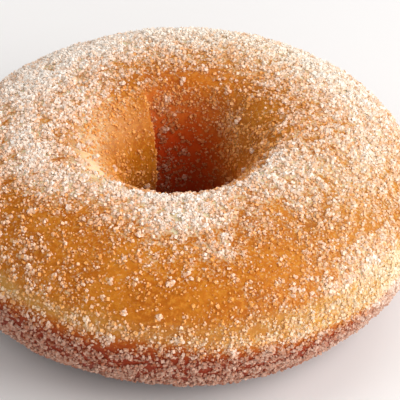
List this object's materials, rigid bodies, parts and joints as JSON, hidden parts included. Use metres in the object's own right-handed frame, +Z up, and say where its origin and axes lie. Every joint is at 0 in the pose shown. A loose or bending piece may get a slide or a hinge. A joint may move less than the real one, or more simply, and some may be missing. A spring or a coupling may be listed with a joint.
{
  "type": "sugared ring doughnut",
  "caption": "Plump fried ring doughnut with a pale line round its side, a round hole through it, and a coat of coarse sugar with fused lumps.",
  "frame": {"origin": "on the axis of the hole, on the surface that the doughnut rests on", "axes": "+Z up along the axis of the hole, -Y towards the side that the picture shows nearest, +X to the right of that view"},
  "size_m": [0.0912, 0.0913, 0.033],
  "materials": {
    "sugared_crust": "matte golden-brown fried crust under white sugar grains"
  },
  "bodies": {
    "root": {"doughnut": "sugared_crust"}
  },
  "joints": []
}
